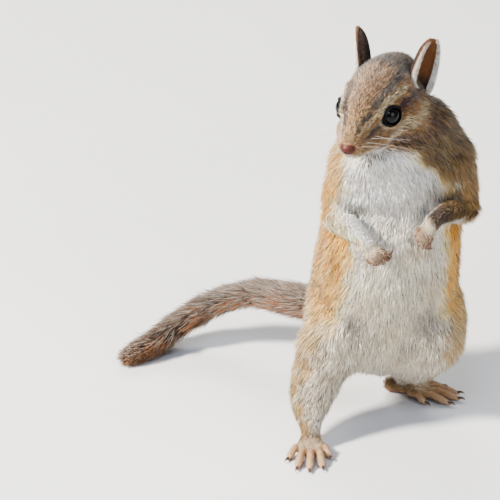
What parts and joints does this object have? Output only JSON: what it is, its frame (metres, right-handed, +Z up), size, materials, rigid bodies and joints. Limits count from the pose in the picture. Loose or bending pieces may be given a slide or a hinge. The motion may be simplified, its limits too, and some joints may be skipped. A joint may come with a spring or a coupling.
{
  "type": "chipmunk figure",
  "caption": "Life-size still model of a small striped chipmunk standing upright on its hind feet, forepaws held before the chest and tail laid out behind.",
  "frame": {"origin": "middle of the underside, on the floor under the feet", "axes": "+Z up, the animal's chest faces -Y and its right side is towards -X; the tail is laid out towards -X and +Y"},
  "size_m": [0.1118, 0.0966, 0.1295],
  "materials": {
    "crown_fur": "short grizzled brown fur with dark and cream stripes",
    "flank_fur": "tawny fur, olive brown on the shoulder, striped along the back",
    "belly_fur": "soft white fur with grey underfur",
    "paw_fur": "very short cream and tan hair",
    "tail_fur": "long dark brown hair with a tawny middle and frosted tips",
    "ear_skin": "thin skin with fine short hair, pale along the rim",
    "eye": "wet, very dark brown",
    "nose_skin": "bare, finely grained pinkish brown skin",
    "claw": "dark reddish horn",
    "whisker": "thin stiff pale hair"
  },
  "bodies": {
    "root": {"head": "crown_fur", "eye_l": "eye", "eye_r": "eye", "nose": "nose_skin", "neck": "crown_fur", "trunk": "belly_fur", "ear_l": "ear_skin", "ear_r": "ear_skin", "upper_arm_l": "flank_fur", "upper_arm_r": "flank_fur", "forearm_l": "paw_fur", "forearm_r": "paw_fur", "hand_l": "paw_fur", "hand_r": "paw_fur", "thigh_l": "flank_fur", "thigh_r": "flank_fur", "shank_l": "belly_fur", "shank_r": "belly_fur", "foot_l": "paw_fur", "foot_r": "paw_fur", "tail_root": "tail_fur", "tail_upper": "tail_fur", "tail_lower": "tail_fur", "tail_tip": "tail_fur"}
  },
  "joints": []
}
